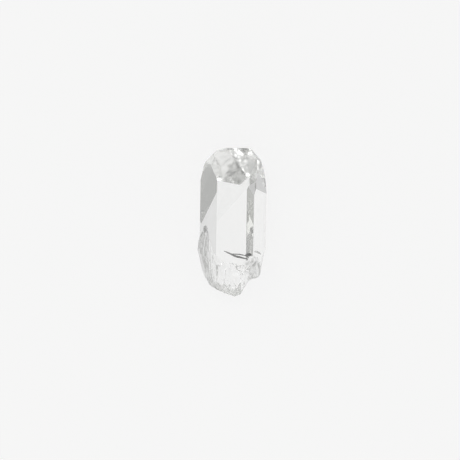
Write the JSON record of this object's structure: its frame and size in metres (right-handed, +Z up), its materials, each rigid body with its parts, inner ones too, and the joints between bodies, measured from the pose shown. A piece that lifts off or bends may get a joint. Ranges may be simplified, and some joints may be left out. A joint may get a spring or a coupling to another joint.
{
  "type": "himalayan quartz crystal",
  "caption": "Clear six-sided quartz crystal with a chisel tip at one end and an uneven broken root at the other, lying on one flat prism face.",
  "frame": {"origin": "on the surface the crystal lies on, under the middle of its box", "axes": "+Z up, +Y along the crystal to its chisel tip, +X to its right as it is looked down on with the tip up"},
  "size_m": [0.0056, 0.012, 0.0044],
  "materials": {
    "quartz": "water-clear natural quartz, flat glossy growth faces, shell-shaped glossy to frosted break at the root, refractive index 1.544"
  },
  "bodies": {
    "root": {"quartz_crystal": "quartz"}
  },
  "joints": []
}
